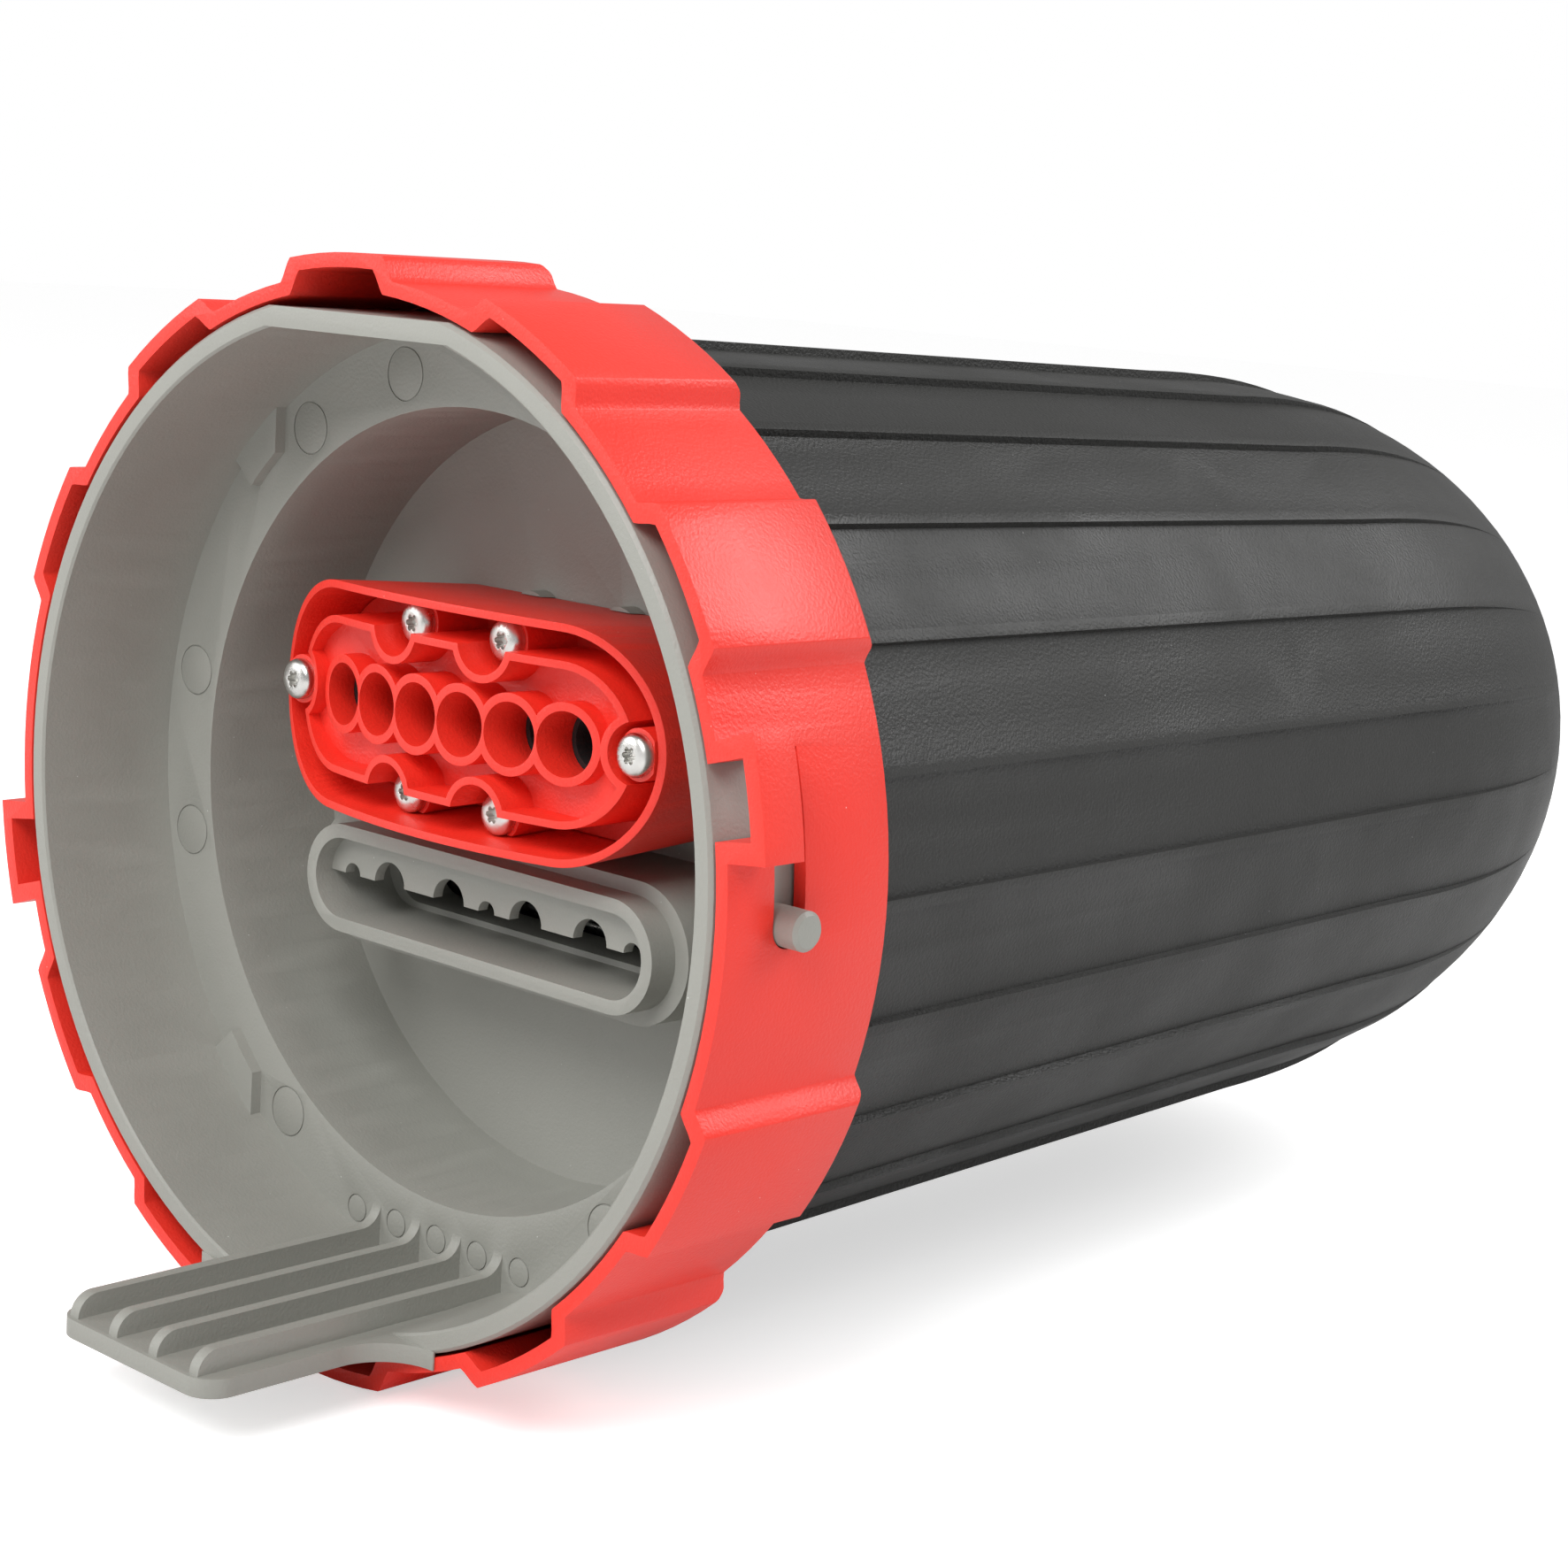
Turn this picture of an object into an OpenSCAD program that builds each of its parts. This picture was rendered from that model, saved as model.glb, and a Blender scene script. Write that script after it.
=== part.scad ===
// Dome splice closure for optical fibre cable.
// The axis lies along Y. The front rim of the base is at Y = 0 and faces -Y,
// the dome points to +Y and the flat of the rim is on top (+Z).

/* [Base] */
// Outer radius of the base skirt
rim_r = 100; // [90:0.5:120]
// Wall thickness of the skirt
rim_wall = 4.2; // [3:0.1:6]
// Depth from the rim to the ledge
ledge_depth = 30.8; // [22:0.1:45]
// Thickness of the ledge and of the well floor
ledge_thk = 3.6; // [3:0.1:6]
// Distance from the skirt's round in to the well
ledge_w = 20.6; // [18.5:0.1:23]
// Depth of the well below the ledge
well_depth = 32.8; // [26:0.1:45]
// Distance from the skirt's round to the flat on top
flat_cut = 3.4; // [2:0.1:6]
// Radius of the bayonet pins
pin_r = 3.6; // [2.5:0.1:5]
// Distance of the bayonet pins from the rim
pin_y = 15.8; // [14:0.1:20]
// How far the pins stand out of the skirt
pin_out = 8.3; // [6:0.1:9]

/* [Tongue] */
// Width of the cable tongue
tongue_w = 47.4; // [36:0.1:60]
// How far the tongue stands out of the rim
tongue_len = 43; // [25:0.5:70]
// Thickness of the tongue's plate
tongue_thk = 3.7; // [3:0.1:5]
// Height of the ribs on the tongue
tongue_rib_h = 4.5; // [3:0.1:6]
// Thickness of each rib on the tongue
tongue_rib_w = 2.6; // [1.6:0.1:4]
// Number of ribs on the tongue
tongue_ribs = 4; // [2:1:5]

/* [Locking ring] */
// Running gap between the skirt and the ring
ring_gap = 0.7; // [0.4:0.1:1.2]
// Wall thickness of the ring
ring_wall = 2.7; // [2.2:0.1:3.6]
// Height of the finger grips over the ring's round
grip_h = 4.2; // [2.5:0.1:6]
// Width of one finger grip as an angle
grip_angle = 16.2; // [12:0.1:20]
// Length of the ring
ring_len = 40.7; // [40:0.1:50]
// Height of the pocket that lets the pin in
pocket_h = 8.3; // [7:0.1:10]
// Angle the ring turns to lock
lock_angle = 12.6; // [10:0.1:14]
// Clearance round the pin in its slot
slot_gap = 0.3; // [0.2:0.05:0.6]

/* [Dome] */
// Length of the whole closure from the rim to the end of the dome
dome_end = 371; // [300:1:520]
// Distance from the skirt's round in to the dome's outside
dome_step = 6.6; // [5.5:0.1:7.5]
// How much narrower the dome is where it starts to round
dome_taper = 5.4; // [0.5:0.1:9]
// Length of the rounded end
cap_len = 127; // [70:1:150]
// Wall thickness of the dome
dome_wall = 3; // [2:0.1:4]
// Number of ribs along the dome
dome_ribs = 24; // [12:1:36]
// Height of the ribs along the dome
dome_rib_h = 1.7; // [0.8:0.1:2.2]
// Width of the ribs along the dome
dome_rib_w = 2.4; // [1.5:0.1:4]

/* [Round ports] */
// Number of round ports
ports = 6; // [2:1:6]
// Bore radius of one round port
port_r = 6.3; // [4:0.1:6.4]
// Distance between two round ports
port_pitch = 13.05; // [12:0.05:13.5]
// Height of the row of ports above the axis
gland_z = 19.4; // [17:0.1:22]
// Outer half width of the gland housing at its front
gland_hw = 56.2; // [55.5:0.1:58]
// Outer half height of the gland housing at its front
gland_hh = 23.3; // [22.8:0.1:25]
// How much lower the housing is at the floor than at its front
gland_taper = 2.5; // [1:0.1:3]
// Wall thickness of the gland housing
gland_wall = 1.6; // [1.4:0.1:2.4]
// Distance of the middle of the gland's front from the base's rim
gland_y = 21.9; // [18:0.1:26]
// Radius of the gland's curved front
gland_arc = 155; // [120:1:300]

/* [Oval port] */
// Outer half width of the oval port
oval_hw = 51.5; // [44:0.1:53]
// Outer half height of the oval port
oval_hh = 11.3; // [9:0.1:12]
// Wall thickness of the oval port
oval_wall = 2.9; // [2:0.1:4]
// Height of the oval port's centre
oval_z = -20.8; // [-28:0.1:-20.5]
// Distance of the oval port's rim from the base's rim
oval_y = 35.7; // [32:0.1:40]

/* [Trays] */
// Length of one splice tray
tray_len = 180; // [120:1:190]
// Half width of one splice tray
tray_hw = 44; // [30:0.5:46]
// Height of one splice tray's rim
tray_h = 8; // [5:0.1:9]

/* [Hidden] */
$fn = 96;

trays = 3;
rim_in = rim_r - rim_wall;            // inner radius of the skirt at the rim
rim_in_deep = rim_in - 1.3;           // and at the ledge, with its draft
flat_z = rim_r - flat_cut;            // outer flat
flat_in = flat_z - 4;                 // inner flat
ledge_back = ledge_depth + ledge_thk;
well_r = rim_r - ledge_w;
floor_y = ledge_depth + well_depth;   // front of the well's floor
floor_back = floor_y + ledge_thk;
dome_r = rim_r - dome_step;           // outer radius of the dome beside the ring
dome_tip_r = dome_r - dome_taper;
spigot_r = dome_r - dome_wall - 1.8;  // land that carries the dome's seal
spigot_end = ledge_back + 15;
groove_y = ledge_back + 6;
groove_w = 4.8;
groove_d = 4.4;
pad_x = rim_in_deep - 36.5;
pad_a = 41.5;
seal_r = 2.3;

ring_in = rim_r + ring_gap;
ring_out = ring_in + ring_wall;
ring_y0 = 0.5;
ring_y1 = ring_y0 + ring_len;
grip_out = ring_out + grip_h;
grip_in = ring_in + grip_h;
pocket_in = ring_in + pocket_h;
pocket_out = pocket_in + 3.1;
pin_end = rim_r + pin_out;
slot_hw = pin_r + slot_gap;
lip_thk = 2.9;                        // rear lip of the ring, which holds the dome
lip_r = dome_r + dome_rib_h + 0.7;

flange_y0 = ledge_back + 0.2;
flange_y1 = ring_y1 - lip_thk - 0.3;
flange_r = rim_r - 0.4;
shoulder = dome_end - cap_len;
cap_pow = 2.59;
rib_end = shoulder + cap_len * 0.62;

spig_hw = gland_hw - gland_taper - 3.5;   // spigot of the housing through the floor
spig_hh = gland_hh - gland_taper - 3.5;
house_floor = 2.6;
lip_hw = gland_hw - gland_wall - 6.1; // raised wall round the ports
lip_hh = gland_hh - gland_wall - 5.8;
lip_w = 1.5;
lip_y = gland_y + 1;
arc_y = gland_y + 2.5;                // front of the middle ports
port_floor = gland_y + 10.7;
port_back = port_floor + 3.3;
flange_plate_y = gland_y + 22.1;
plate_thk = 3;
plate_inset = gland_wall + 0.3;
back_thk = 3.2;
seal_back = floor_y - house_floor - back_thk - 0.3;
boss_r = 5;
boss_y = gland_y + 9.1;
screw_x = port_pitch;
screw_z = lip_hh + 1;
screw_end_x = lip_hw + 1;
screw_r = 2;
head_r = 4.2;
head_h = 2.6;
notch_r = boss_r + 1.3;
SCREWS = [[-screw_end_x, 0.5], [screw_end_x, 0.5], [-screw_x, screw_z], [screw_x, screw_z],
          [-screw_x, -screw_z], [screw_x, -screw_z]];

collar_hw = oval_hw + 3.5;
collar_hh = oval_hh + 2.8;
collar_y = oval_y + 6.3;
comb_y = oval_y + 4.3;
comb_thk = 2.5;

tray_gap = 1.2;
tray_z0 = -46;                        // underside of the lowest tray
tray_step = tray_h + tray_gap + 1.5;
carrier_z = tray_z0 - 4.2;
carrier_hw = tray_hw + 8;
carrier_end = floor_back + 20 + tray_len + 4;
hinge_y = floor_back + 16;
rod_r = 1.5;
post_w = 4;
tray_corner = 16;                     // corner radius of a tray
bobbin_r = 24;
bobbin_y = 42;
holder_hw = 20;
holder_len = 18;
window_hw = 18;
window_pitch = (tray_len - 12) / 4;

// ---- helpers ----
// cylinder along Y from y0 to y1
module cyl_y(r, y0, y1) translate([0, y0, 0]) rotate([-90, 0, 0]) cylinder(r = r, h = y1 - y0);
// plane shape (x, z) drawn out along Y from y0 to y1
module draw_y(y0, y1) translate([0, y1, 0]) rotate([90, 0, 0]) linear_extrude(y1 - y0) children();
// profile (r, y) turned round the Y axis
module turn_y() rotate([-90, 0, 0]) rotate_extrude() children();
// oval with round ends, centred on the origin, drawn out along Y
module oval(hw, hh, y0, y1) {
    translate([-(hw - hh), y0, -hh]) cube([2 * (hw - hh), y1 - y0, 2 * hh]);
    for (s = [-1, 1]) translate([s * (hw - hh), 0, 0]) cyl_y(hh, y0, y1);
}
// how far the gland housing's wall has come in at y
function gland_in(y) = gland_taper * (y - gland_y) / (floor_y - gland_y);
// oval that keeps to the housing's taper, set in from its outside
module gland_oval(inset, y0, y1) {
    c = gland_hw - gland_hh;
    h0 = gland_hh - inset - gland_in(y0);
    h1 = gland_hh - inset - gland_in(y1);
    translate([-c, 0, 0]) rotate([90, 0, 90]) linear_extrude(2 * c) polygon([[y0, -h0], [y1, -h1], [y1, h1], [y0, h0]]);
    for (s = [-1, 1]) translate([s * c, y0, 0]) rotate([-90, 0, 0]) cylinder(r1 = h0, r2 = h1, h = y1 - y0);
}
// all that lies behind the gland's curved front, whose middle is at y
module behind_arc(y) translate([0, y + gland_arc, -gland_hh - 5]) cylinder(r = gland_arc, h = 2 * gland_hh + 10, $fn = 200);
function polar(r, a) = [r * cos(a), r * sin(a)];
function smooth(t) = t * t * (3 - 2 * t);

// ---- base ----
module skirt_profile() polygon([
    [rim_in + 0.5, 0], [rim_r - 0.7, 0], [rim_r, 0.7], [rim_r, ledge_back], [spigot_r, ledge_back],
    [spigot_r, groove_y], [spigot_r - groove_d, groove_y], [spigot_r - groove_d, groove_y + groove_w],
    [spigot_r, groove_y + groove_w], [spigot_r, spigot_end - 1.5], [spigot_r - 1.5, spigot_end],
    [well_r + ledge_thk, spigot_end], [well_r + ledge_thk, floor_back], [0, floor_back],
    [0, floor_y], [well_r - 0.1, floor_y], [well_r, ledge_depth], [rim_in_deep, ledge_depth],
    [rim_in, 0.5]]);

module top_flat_fill() intersection() {
    cyl_y(rim_in + 1, 0, ledge_depth + 1);
    translate([-rim_r / 2, 0, flat_in]) cube([rim_r, ledge_depth + 1, flat_z - flat_in]);
}

module tongue_plate() {
    top = -(rim_in - 2.8);
    hw = tongue_w / 2;
    c = 6;
    fl = 12;
    y_in = ring_y0 - 0.1;
    translate([0, 0, top - tongue_thk]) {
        translate([-hw, -tongue_len + c, 0]) cube([2 * hw, tongue_len + ledge_depth + 1 - c, tongue_thk]);
        translate([-hw + c, -tongue_len, 0]) cube([2 * (hw - c), c + 1, tongue_thk]);
        for (s = [-1, 1]) {
            translate([s * (hw - c), -tongue_len + c, 0]) cylinder(r = c, h = tongue_thk);
            difference() {
                translate([s > 0 ? hw - 1 : -hw - fl, -fl, 0]) cube([fl + 1, fl + y_in, tongue_thk]);
                translate([s * (hw + fl), -fl, -1]) cylinder(r = fl, h = tongue_thk + 2);
            }
        }
    }
}

module tongue_rib_bars() {
    top = -(rim_in - 2.8);
    pitch = (tongue_w - 10.2) / (tongue_ribs - 1);
    for (i = [0 : tongue_ribs - 1])
        translate([(i - (tongue_ribs - 1) / 2) * pitch - tongue_rib_w / 2, 0, top]) {
            translate([0, -tongue_len + 1 + tongue_rib_h, -1])
                cube([tongue_rib_w, tongue_len + ledge_depth - tongue_rib_h, tongue_rib_h + 1]);
            intersection() {
                translate([0, -tongue_len + 1, -1]) cube([tongue_rib_w, tongue_rib_h + 1, tongue_rib_h + 1]);
                translate([0, -tongue_len + 1 + tongue_rib_h, 0]) rotate([0, 90, 0])
                    cylinder(r = tongue_rib_h, h = tongue_rib_w);
            }
            // upsweep into the ledge
            difference() {
                translate([0, ledge_depth - 4.5, 0]) cube([tongue_rib_w, 5, tongue_rib_h + 4.5]);
                translate([-1, ledge_depth - 4.5, tongue_rib_h + 4.5]) rotate([0, 90, 0])
                    cylinder(r = 4.5, h = tongue_rib_w + 2);
            }
        }
}

// pad in the corner of the ledge, one end cut upright
module ledge_pad() draw_y(ledge_depth - 2.5, ledge_depth + 1) intersection() {
    difference() { circle(r = rim_in_deep + 1); circle(r = rim_in_deep - 7); }
    polygon([[pad_x, pad_x * tan(pad_a)], polar(rim_r * 1.3, pad_a), [pad_x, rim_r * 1.3]]);
}

module mark_ring(r) difference() {
    cyl_y(r, ledge_depth - 1, ledge_depth + 0.25);
    cyl_y(r - 0.3, ledge_depth - 2, ledge_depth + 1);
}

module comb() intersection() {
    translate([0, 0, oval_z]) oval(oval_hw - 1, oval_hh - 1, comb_y, comb_y + comb_thk);
    difference() {
        translate([-oval_hw, comb_y, oval_z]) cube([2 * oval_hw, comb_thk, oval_hh]);
        for (s = [-1, 1]) {
            for (x = [11.5, 30]) translate([s * x, 0, oval_z]) cyl_y(4.7, comb_y - 1, comb_y + comb_thk + 1);
            translate([s * 41.8, 0, oval_z]) cyl_y(2.4, comb_y - 1, comb_y + comb_thk + 1);
        }
        translate([0, 0, oval_z]) cyl_y(2.4, comb_y - 1, comb_y + comb_thk + 1);
    }
}

module base() color([0.66, 0.67, 0.64]) {
    difference() {
        union() {
            difference() {
                turn_y() skirt_profile();
                translate([-rim_r, -1, flat_z]) cube([2 * rim_r, ledge_back + 1, rim_r]);
            }
            top_flat_fill();
            tongue_plate();
            tongue_rib_bars();
            // bayonet pins
            for (s = [-1, 1]) translate([s * (rim_in_deep + 1), pin_y, 0]) rotate([0, s * 90, 0]) {
                cylinder(r = pin_r, h = pin_end - rim_in_deep - 1.7);
                translate([0, 0, pin_end - rim_in_deep - 1.7]) cylinder(r1 = pin_r, r2 = pin_r - 0.7, h = 0.7);
            }
            // oval port
            translate([0, 0, oval_z]) {
                oval(oval_hw, oval_hh, oval_y, floor_y + 1);
                oval(collar_hw, collar_hh, collar_y, floor_y + 1);
            }
            for (x = [0, 1], z = [0, 1]) mirror([x, 0, 0]) mirror([0, 0, z]) ledge_pad();
            // bosses for the upper and lower screws of the gland, cut away round the housing
            translate([0, 0, gland_z]) difference() {
                for (i = [2 : 5]) translate([SCREWS[i][0], 0, SCREWS[i][1]]) cyl_y(boss_r + 0.2, floor_y - 4, floor_y + 1);
                gland_oval(-0.15, floor_y - 6, floor_y + 2);
            }
        }
        // bore of the oval port
        translate([0, 0, oval_z]) {
            oval(oval_hw - oval_wall, oval_hh - oval_wall, oval_y - 1, floor_y - 8);
            oval(oval_hw - oval_wall - 3.2, oval_hh - oval_wall - 1.3, floor_y - 9, floor_back + 1);
        }
        // window for the gland housing
        translate([0, 0, gland_z]) oval(spig_hw + 0.3, spig_hh + 0.3, floor_y - 1, floor_back + 1);
        // seats of the tray carrier's screws
        for (s = [-1, 1]) translate([s * (carrier_hw - 12), 0, carrier_z - 8])
            cyl_y(1.6, floor_back - 3, floor_back + 1);
        // ejector marks in the ledge
        for (a = [11, 55, 76, 104, 125, 169, 192, 236, 304, 348]) rotate([0, -a, 0])
            translate([(well_r + rim_in_deep) / 2, 0, 0]) mark_ring(5.4);
        for (i = [0 : tongue_ribs]) translate([(i - tongue_ribs / 2) * (tongue_w - 10.2) / (tongue_ribs - 1), 0,
            -(well_r + rim_in_deep) / 2]) mark_ring(3);
    }
    comb();
}

module dome_seal() color([0.1, 0.1, 0.1])
    turn_y() translate([spigot_r - groove_d + seal_r + 0.05, groove_y + groove_w / 2]) circle(r = seal_r, $fn = 32);

// ---- dome ----
function dome_at(y) = y <= shoulder
    ? dome_r + (dome_tip_r - dome_r) * (y - flange_y1) / (shoulder - flange_y1)
    : dome_tip_r * pow(max(0, 1 - pow((y - shoulder) / cap_len, cap_pow)), 1 / cap_pow);
CAP = [for (i = [1 : 27]) shoulder + cap_len * sin(i * 90 / 28)];
function rib_up(y) = y <= shoulder ? dome_rib_h : dome_rib_h * (1 - smooth(min(1, (y - shoulder) / (rib_end - shoulder))));

module dome_outer() polygon(concat(
    [[0, flange_y0], [flange_r, flange_y0], [flange_r, flange_y1], [dome_r, flange_y1], [dome_tip_r, shoulder]],
    [for (y = CAP) [dome_at(y), y]], [[0, dome_end]]));
module dome_inner() polygon(concat(
    [[0, flange_y0 - 1], [spigot_r + 0.3, flange_y0 - 1], [spigot_r + 0.3, flange_y0 + 15], [dome_tip_r - dome_wall, shoulder - dome_wall]],
    [for (y = CAP) [max(0.1, dome_at(y) * (1 - dome_wall / dome_tip_r)), shoulder + (y - shoulder) * (1 - dome_wall / cap_len)]],
    [[0, dome_end - dome_wall]]));
module rib_outer() polygon(concat(
    [[20, flange_y1], [dome_r + dome_rib_h, flange_y1], [dome_tip_r + dome_rib_h, shoulder]],
    [for (y = CAP) if (y < rib_end) [dome_at(y) + rib_up(y), y]], [[dome_at(rib_end) - 0.01, rib_end], [20, rib_end]]));

module dome_cover() color([0.07, 0.07, 0.07]) difference() {
    union() {
        turn_y() dome_outer();
        intersection() {
            turn_y() rib_outer();
            for (i = [0 : dome_ribs - 1]) rotate([0, -13.5 - i * 360 / dome_ribs, 0])
                translate([dome_tip_r * 0.5, flange_y1, -dome_rib_w / 2])
                    cube([dome_r, rib_end - flange_y1, dome_rib_w]);
        }
    }
    turn_y() dome_inner();
}

// ---- locking ring ----
// radius along a flared side, which starts just under r0 and ends just over r1
function flare_r(r0, r1, t) = r0 - 0.25 + (r1 - r0 + 0.5) * smooth(t);
// wedge with flared sides, hw = half width as an angle, from radius r0 up to r1
module flared_wedge(c, hw, r0, r1) {
    w = 2.6;
    n = 6;
    polygon(concat(
        [polar(r0 - 6, c - hw - w / 2)],
        [for (i = [0 : n]) polar(flare_r(r0, r1, i / n), c - hw - w / 2 + w * i / n)],
        [polar(r1 + 4, c - hw + w / 2), polar(r1 + 4, c + hw - w / 2)],
        [for (i = [n : -1 : 0]) polar(flare_r(r0, r1, i / n), c + hw + w / 2 - w * i / n)],
        [polar(r0 - 6, c + hw + w / 2)]));
}
GRIPS = [for (i = [0 : 11]) if (i % 6 != 5) 33.5 + 30 * i];

module grip_bodies(hw, r0, r1, y0, y1) intersection() {
    cyl_y(r1, y0, y1);
    for (c = GRIPS) draw_y(y0 - 1, y1 + 1) flared_wedge(c, hw, r0, r1);
}

module sector(a0, a1, r0, r1, y0, y1) draw_y(y0, y1)
    intersection() {
        difference() { circle(r = r1); circle(r = r0); }
        polygon([[0, 0], polar(r1 * 2, a0), polar(r1 * 2, (a0 + a1) / 2), polar(r1 * 2, a1)]);
    }

module locking_ring() color([0.86, 0.12, 0.09]) {
    half_pin = asin(slot_hw / ring_in);
    pocket_c = lock_angle;
    pocket_hw = half_pin + 1.5;
    difference() {
        union() {
            cyl_y(ring_out, ring_y0, ring_y1);
            grip_bodies(grip_angle / 2, ring_out, grip_out, ring_y0, ring_y1);
            for (s = [0, 180]) sector(s + pocket_c - pocket_hw - 2, s + pocket_c + pocket_hw + 2, ring_in + 1, pocket_out,
                                      ring_y0, pin_y - slot_hw - 1.9);
        }
        cyl_y(ring_in, ring_y0 - 1, ring_y1 - lip_thk);
        cyl_y(lip_r, ring_y0 - 1, ring_y1 + 1);
        grip_bodies(grip_angle / 2 - 1.3, ring_in, grip_in, ring_y0 - 1, ring_y1 - lip_thk);
        // rounded outer edge at the back
        turn_y() polygon([[grip_out - 2.2, ring_y1 + 0.2], [grip_out - 1.2, ring_y1 - 0.3], [grip_out - 0.3, ring_y1 - 1.2],
            [grip_out + 0.1, ring_y1 - 2.1], [grip_out + 3, ring_y1 - 2.1], [grip_out + 3, ring_y1 + 3], [grip_out - 2.2, ring_y1 + 3]]);
        for (s = [0, 180]) {
            // way in for the pin
            sector(s + pocket_c - pocket_hw, s + pocket_c + pocket_hw, ring_in - 4, pocket_in, ring_y0 - 1, pin_y);
            // slot round the ring
            sector(s, s + pocket_c + pocket_hw + 0.7, ring_in - 5, pocket_out + 1, pin_y - slot_hw, pin_y + slot_hw);
            rotate([0, -s, 0]) translate([ring_in - 4, pin_y, 0]) rotate([0, 90, 0])
                cylinder(r = slot_hw, h = pocket_out - ring_in + 6);
        }
    }
}

// ---- gland of the round ports ----
module at_ports() for (i = [0 : ports - 1]) translate([(i - (ports - 1) / 2) * port_pitch, 0, 0]) children();
module at_screws() for (p = SCREWS) translate([p[0], 0, p[1]]) children();

module gland_housing() color([0.86, 0.12, 0.09]) translate([0, 0, gland_z]) difference() {
    union() {
        intersection() {
            behind_arc(gland_y);
            gland_oval(0, gland_y - 1, floor_y - 0.1);
        }
        oval(spig_hw, spig_hh, floor_y - 1, floor_back + 5);
    }
    gland_oval(gland_wall, gland_y - 2, floor_y - 0.1 - house_floor);
    oval(spig_hw - 4, spig_hh - 4, floor_y - 4, floor_back + 6);
}

module port_plate() color([0.86, 0.12, 0.09]) translate([0, 0, gland_z]) difference() {
    union() {
        // raised wall, which steps in round the screws
        intersection() {
            behind_arc(lip_y);
            difference() {
                oval(lip_hw, lip_hh, lip_y - 1, flange_plate_y + 1);
                at_screws() cyl_y(notch_r, lip_y - 2, flange_plate_y + 2);
                difference() {
                    oval(lip_hw - lip_w, lip_hh - lip_w, lip_y - 2, port_floor);
                    at_screws() cyl_y(notch_r + lip_w, lip_y - 3, port_floor + 1);
                }
            }
        }
        intersection() {
            behind_arc(arc_y);
            at_ports() cyl_y(port_r + 1.7, arc_y - 1, port_back);
        }
        gland_oval(plate_inset, flange_plate_y, flange_plate_y + plate_thk);
        intersection() {
            at_screws() cyl_y(boss_r, boss_y, flange_plate_y + 1);
            gland_oval(plate_inset, boss_y - 1, flange_plate_y + 2);
        }
    }
    at_ports() cyl_y(port_r, arc_y - 2, port_back + 1);
    oval(lip_hw - lip_w - 7, lip_hh - lip_w - 6, port_back, flange_plate_y + plate_thk + 1);
    at_screws() cyl_y(screw_r + 0.2, boss_y - 1, flange_plate_y + plate_thk + 1);
}

module gland_seal() color([0.09, 0.09, 0.09]) translate([0, 0, gland_z]) difference() {
    union() {
        oval(lip_hw - lip_w - 7.2, lip_hh - lip_w - 6.2, port_back + 0.1, flange_plate_y + plate_thk + 1);
        gland_oval(plate_inset, flange_plate_y + plate_thk, seal_back);
    }
    at_ports() cyl_y(port_r - 1, port_back - 1, seal_back + 1);
    at_screws() cyl_y(screw_r + 0.2, port_back - 1, seal_back + 1);
}

module gland_back_plate() color([0.86, 0.12, 0.09]) translate([0, 0, gland_z]) difference() {
    gland_oval(plate_inset, seal_back, seal_back + back_thk);
    at_ports() cyl_y(port_r + 0.6, seal_back - 1, seal_back + back_thk + 1);
    at_screws() cyl_y(screw_r + 0.05, seal_back - 1, seal_back + back_thk + 1);
}

// pan head screw with a six-lobed socket, head on the -Y side at the origin
module pan_screw(len) {
    difference() {
        union() {
            turn_y() polygon([[0, 0], [head_r * 0.55, 0], [head_r * 0.8, 0.28], [head_r * 0.94, 0.8],
                [head_r, 1.5], [head_r, head_h], [0, head_h]]);
            cyl_y(screw_r, head_h - 0.5, head_h + len);
        }
        cyl_y(1.2, -1, 1.7, $fn = 24);
        for (a = [0 : 60 : 300]) rotate([0, a, 0]) translate([1.25, 0, 0]) cyl_y(0.5, -1, 1.7, $fn = 16);
    }
}
module gland_screw(i) color([0.75, 0.76, 0.77])
    translate([SCREWS[i][0], boss_y - head_h, gland_z + SCREWS[i][1]])
        pan_screw(seal_back + back_thk - boss_y - 0.2);
module gland_screw_1() gland_screw(0);
module gland_screw_2() gland_screw(1);
module gland_screw_3() gland_screw(2);
module gland_screw_4() gland_screw(3);
module gland_screw_5() gland_screw(4);
module gland_screw_6() gland_screw(5);

// ---- splice trays inside the dome ----
module tray_carrier() color([0.66, 0.67, 0.64]) difference() {
    union() {
        translate([-carrier_hw, floor_back, carrier_z]) cube([2 * carrier_hw, carrier_end - floor_back, 3]);
        translate([-carrier_hw + 6, floor_back, carrier_z - 14]) cube([2 * carrier_hw - 12, 3, 17]);
        for (s = [-1, 1]) {
            translate([s > 0 ? carrier_hw - post_w : -carrier_hw, hinge_y - 7, carrier_z])
                cube([post_w, 14, tray_z0 - carrier_z + tray_step * trays]);
            // edge rails
            translate([s > 0 ? carrier_hw - 2 : -carrier_hw, hinge_y, carrier_z]) cube([2, carrier_end - hinge_y, 5]);
        }
    }
    for (i = [0 : trays - 1]) translate([-carrier_hw - 1, hinge_y, tray_z0 + i * tray_step + tray_h / 2])
        rotate([0, 90, 0]) cylinder(r = rod_r, h = 2 * carrier_hw + 2, $fn = 32);
    for (s = [-1, 1]) translate([s * (carrier_hw - 12), 0, carrier_z - 8]) cyl_y(1.8, floor_back - 1, floor_back + 4);
    // weight-saving windows
    for (i = [0 : 3]) translate([-window_hw, hinge_y + 18 + i * window_pitch, carrier_z - 1])
        cube([2 * window_hw, window_pitch - 16, 5]);
}

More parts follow.
